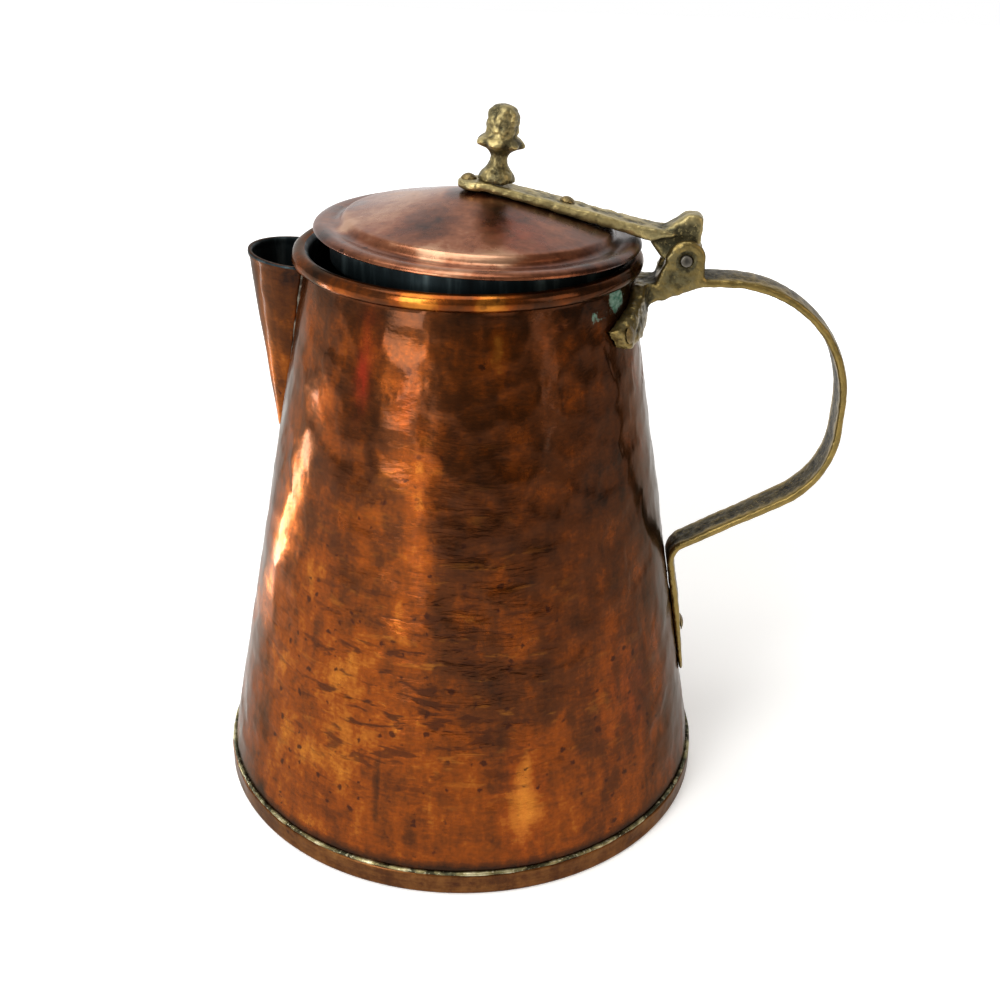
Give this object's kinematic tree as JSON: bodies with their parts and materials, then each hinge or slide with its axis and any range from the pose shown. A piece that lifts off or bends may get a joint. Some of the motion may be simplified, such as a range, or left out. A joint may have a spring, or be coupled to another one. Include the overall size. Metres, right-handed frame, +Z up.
{
  "type": "coffee pot",
  "caption": "Tapered hammered-copper coffee pot with an open beak spout, a strap handle of cast brass and a hinged lid with thumbpiece and bud finial.",
  "frame": {"origin": "centre of the flat underside of the base", "axes": "+Z up along the body's axis, +X towards the handle, the spout near -X"},
  "size_m": [0.2353, 0.192, 0.2606],
  "materials": {
    "aged_copper": "hammered copper, aged",
    "tinned_copper": "worn tinning on copper",
    "cast_brass": "sand cast, dull patina",
    "braze": "brass braze",
    "copper_rivet": "peened copper",
    "iron": "dull iron"
  },
  "bodies": {
    "pot": {"base_pan": "aged_copper", "base_braze": "braze", "body_wall": "aged_copper", "rim_wire": "iron", "spout_beak": "aged_copper", "spout_braze": "braze", "handle": "cast_brass", "hinge_pin": "iron", "arm_rivet_near": "copper_rivet", "arm_rivet_far": "copper_rivet", "tail_rivet": "copper_rivet"},
    "lid": {"lid_dome": "aged_copper", "lid_collar": "tinned_copper", "lid_strap": "cast_brass", "finial": "cast_brass", "finial_rove": "copper_rivet", "strap_rivet_front": "copper_rivet", "strap_rivet_rear": "copper_rivet"}
  },
  "joints": [
    {"name": "lid_hinge", "type": "hinge", "parent": "pot", "child": "lid", "pos_m": [0.0761, 0, 0.2112], "axis": [0, 1, 0], "range_deg": [0, 92]}
  ]
}
